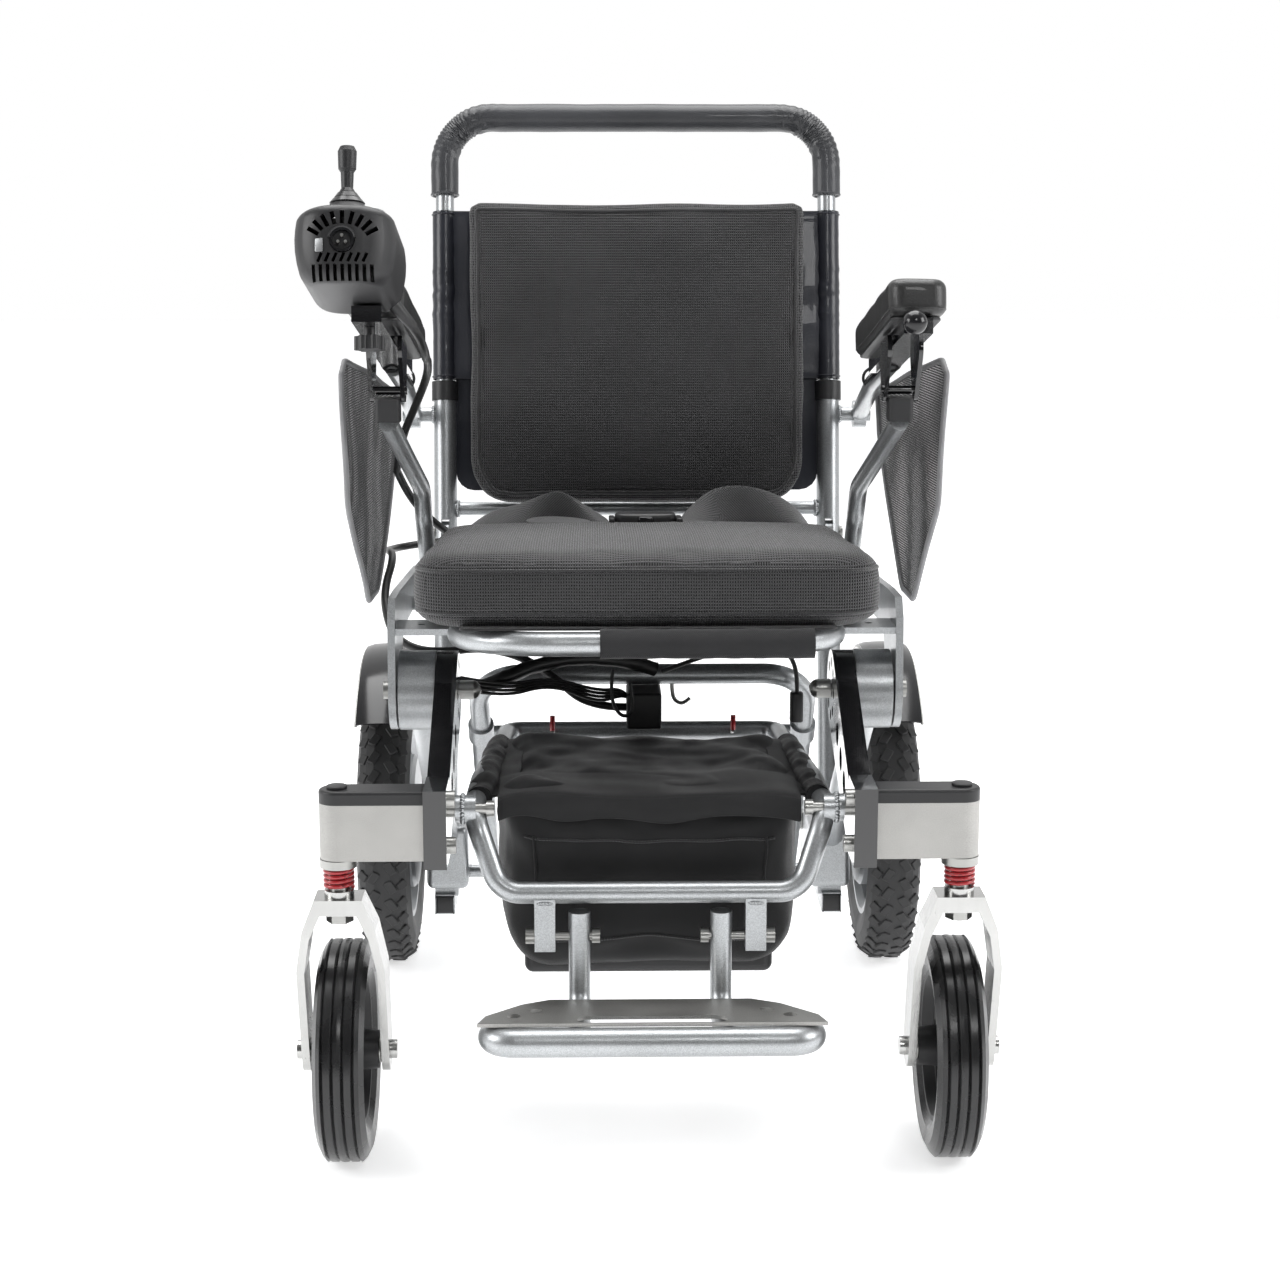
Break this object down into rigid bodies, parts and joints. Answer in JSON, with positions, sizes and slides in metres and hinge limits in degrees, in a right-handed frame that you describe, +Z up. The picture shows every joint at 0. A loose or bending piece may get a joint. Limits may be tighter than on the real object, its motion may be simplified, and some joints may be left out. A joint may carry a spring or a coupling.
{
  "type": "folding power wheelchair",
  "caption": "Folding aluminium power wheelchair with hub-motor rear wheels, sprung front casters, a padded mesh seat and back, flip-up armrests, a joystick controller and a fold-up footplate.",
  "frame": {"origin": "on the floor, at the middle of the whole chair's length and width", "axes": "+X to the occupant's left, +Y to the rear, +Z up"},
  "size_m": [0.634, 0.9555, 0.952],
  "materials": {
    "silver_paint": "metallic silver powder coat",
    "black_paint": "gloss black paint",
    "blasted_alloy": "bead-blasted and clear-anodised",
    "polished_fork": "brushed and polished",
    "zinc_steel": "bright zinc plate",
    "red_spring": "dark red gloss coat",
    "cast_rim": "cast alloy, silver lacquer",
    "caster_rim": "moulded nylon, satin",
    "caster_rubber": "solid tyre, semi-gloss",
    "tyre_rubber": "treaded tyre, matt",
    "black_plastic": "fine-textured moulding",
    "gloss_plastic": "polished moulding",
    "panel_face": "silver-lacquered face",
    "mesh_fabric": "black three-dimensional spacer mesh",
    "sling_fabric": "plain woven nylon",
    "webbing": "ribbed nylon webbing",
    "bag_nylon": "coated black nylon",
    "guard_mesh": "open mesh with grey edge tape",
    "leatherette": "smooth black leatherette",
    "grip_cover": "sewn leatherette sleeve",
    "arm_pad": "moulded soft vinyl",
    "cable_jacket": "matt cable jacket",
    "battery_case": "moulded case"
  },
  "bodies": {
    "rear_frame": {"rear_frame": "silver_paint", "cross_bow": "silver_paint", "seat_frame": "silver_paint", "seat_sling": "sling_fabric", "seat_cushion": "mesh_fabric", "seat_belt": "webbing", "belt_buckle": "black_plastic", "armrest_struts": "silver_paint", "strut_clevises": "black_plastic", "fenders": "gloss_plastic", "motor_stators": "zinc_steel", "antitip_bars": "silver_paint", "power_controller": "black_plastic", "pivot_bolts": "zinc_steel", "joystick_cable": "cable_jacket"},
    "front_frame": {"front_arm_right": "black_paint", "front_arm_left": "black_paint", "caster_brackets": "blasted_alloy", "bracket_caps": "black_plastic", "arm_bolts": "zinc_steel"},
    "footrest_hanger": {"hanger_frame": "silver_paint", "hanger_bolts": "zinc_steel", "battery_bag": "bag_nylon", "battery_pack": "battery_case"},
    "footrest": {"footrest_frame": "silver_paint", "footplate": "blasted_alloy"},
    "backrest": {"back_frame": "silver_paint", "post_collars": "black_plastic", "push_tube": "silver_paint", "push_grip": "grip_cover", "back_upholstery": "mesh_fabric"},
    "rail_knob": {"rail_knob_left": "gloss_plastic"},
    "clamp_knob": {"clamp_knob_right": "black_plastic"},
    "stick_gimbal": {"joystick_gimbal": "zinc_steel"},
    "stick": {"joystick_stick": "black_plastic"},
    "power_key": {"power_button": "black_plastic"},
    "swivel_right": {"caster_stem_right": "zinc_steel", "caster_spring_right": "red_spring"},
    "fork_right": {"caster_fork_right": "polished_fork"},
    "caster_right": {"caster_hub_right": "caster_rim", "caster_tyre_right": "caster_rubber"},
    "rear_wheel_right": {"rear_rim_right": "cast_rim", "rear_tyre_right": "tyre_rubber"},
    "antitip_right": {"antitip_wheel_right": "black_plastic"},
    "armrest_right": {"armrest_frame_right": "silver_paint", "armrest_pad_right": "arm_pad", "side_guard_right": "guard_mesh", "controller_shell": "black_plastic", "controller_panel": "panel_face"},
    "swivel_left": {"caster_stem_left": "zinc_steel", "caster_spring_left": "red_spring"},
    "fork_left": {"caster_fork_left": "polished_fork"},
    "caster_left": {"caster_hub_left": "caster_rim", "caster_tyre_left": "caster_rubber"},
    "rear_wheel_left": {"rear_rim_left": "cast_rim", "rear_tyre_left": "tyre_rubber"},
    "antitip_left": {"antitip_wheel_left": "black_plastic"},
    "armrest_left": {"armrest_frame_left": "silver_paint", "armrest_pad_left": "arm_pad", "side_guard_left": "guard_mesh"}
  },
  "joints": [
    {"name": "front_fold", "type": "hinge", "parent": "rear_frame", "child": "front_frame", "pos_m": [0, -0.164, 0.397], "axis": [1, 0, 0], "range_deg": [0, 46]},
    {"name": "hanger_swing", "type": "hinge", "parent": "front_frame", "child": "footrest_hanger", "pos_m": [0, -0.352, 0.331], "axis": [1, 0, 0], "range_deg": [-20, 0]},
    {"name": "footrest_flip", "type": "hinge", "parent": "footrest_hanger", "child": "footrest", "pos_m": [0, -0.374, 0.222], "axis": [1, 0, 0], "range_deg": [-90, 0]},
    {"name": "back_fold", "type": "hinge", "parent": "rear_frame", "child": "backrest", "pos_m": [0, 0.25377, 0.485], "axis": [1, 0, 0], "range_deg": [0, 50], "deforming": ["joystick_cable"]},
    {"name": "rail_knob_turn", "type": "hinge", "parent": "armrest_left", "child": "rail_knob", "pos_m": [0.237, -0.23338, 0.74326], "axis": [0, -0.9785, 0.2062], "continuous": true},
    {"name": "clamp_knob_turn", "type": "hinge", "parent": "armrest_right", "child": "clamp_knob", "pos_m": [-0.243, -0.27599, 0.74478], "axis": [0, 0.2062, 0.9785], "continuous": true},
    {"name": "joystick_pitch", "type": "hinge", "parent": "armrest_right", "child": "stick_gimbal", "pos_m": [-0.254, -0.34079, 0.83457], "axis": [1, 0, 0], "range_deg": [-15, 15], "stiffness_Nm_per_rad": 0.6},
    {"name": "joystick_roll", "type": "hinge", "parent": "stick_gimbal", "child": "stick", "pos_m": [-0.254, -0.34079, 0.83457], "axis": [0, 0.9703, -0.2419], "range_deg": [-15, 15], "stiffness_Nm_per_rad": 0.6},
    {"name": "power_press", "type": "slide", "parent": "armrest_right", "child": "power_key", "axis": [0, -0.2419, -0.9703], "range_m": [0, 0.0008], "stiffness_N_per_m": 600, "springref_m": -0.001},
    {"name": "caster_swivel_right", "type": "hinge", "parent": "front_frame", "child": "swivel_right", "pos_m": [-0.272, -0.362, 0.316], "axis": [0, 0, 1], "continuous": true},
    {"name": "caster_suspension_right", "type": "slide", "parent": "swivel_right", "child": "fork_right", "axis": [0, 0, 1], "range_m": [0, 0.004], "stiffness_N_per_m": 30000, "springref_m": -0.008, "deforming": ["caster_spring_right"]},
    {"name": "caster_spin_right", "type": "hinge", "parent": "fork_right", "child": "caster_right", "pos_m": [-0.272, -0.324, 0.1], "axis": [1, 0, 0], "continuous": true},
    {"name": "rear_spin_right", "type": "hinge", "parent": "rear_frame", "child": "rear_wheel_right", "pos_m": [-0.277, 0.254, 0.156], "axis": [1, 0, 0], "continuous": true},
    {"name": "antitip_spin_right", "type": "hinge", "parent": "rear_frame", "child": "antitip_right", "pos_m": [-0.215, 0.446, 0.06], "axis": [1, 0, 0], "continuous": true},
    {"name": "armrest_fold_right", "type": "hinge", "parent": "backrest", "child": "armrest_right", "pos_m": [-0.247, 0.28074, 0.613], "axis": [1, 0, 0], "range_deg": [-65, 0]},
    {"name": "caster_swivel_left", "type": "hinge", "parent": "front_frame", "child": "swivel_left", "pos_m": [0.272, -0.362, 0.316], "axis": [0, 0, 1], "continuous": true},
    {"name": "caster_suspension_left", "type": "slide", "parent": "swivel_left", "child": "fork_left", "axis": [0, 0, 1], "range_m": [0, 0.004], "stiffness_N_per_m": 30000, "springref_m": -0.008, "deforming": ["caster_spring_left"]},
    {"name": "caster_spin_left", "type": "hinge", "parent": "fork_left", "child": "caster_left", "pos_m": [0.272, -0.324, 0.1], "axis": [1, 0, 0], "continuous": true},
    {"name": "rear_spin_left", "type": "hinge", "parent": "rear_frame", "child": "rear_wheel_left", "pos_m": [0.277, 0.254, 0.156], "axis": [1, 0, 0], "continuous": true},
    {"name": "antitip_spin_left", "type": "hinge", "parent": "rear_frame", "child": "antitip_left", "pos_m": [0.215, 0.446, 0.06], "axis": [1, 0, 0], "continuous": true},
    {"name": "armrest_fold_left", "type": "hinge", "parent": "backrest", "child": "armrest_left", "pos_m": [0.247, 0.28074, 0.613], "axis": [1, 0, 0], "range_deg": [-65, 0]}
  ],
  "couplings": [
    {"joint": "hanger_swing", "follows": "front_fold", "ratio": -0.424},
    {"joint": "armrest_fold_right", "follows": "back_fold", "ratio": -1.3},
    {"joint": "armrest_fold_left", "follows": "back_fold", "ratio": -1.3}
  ]
}
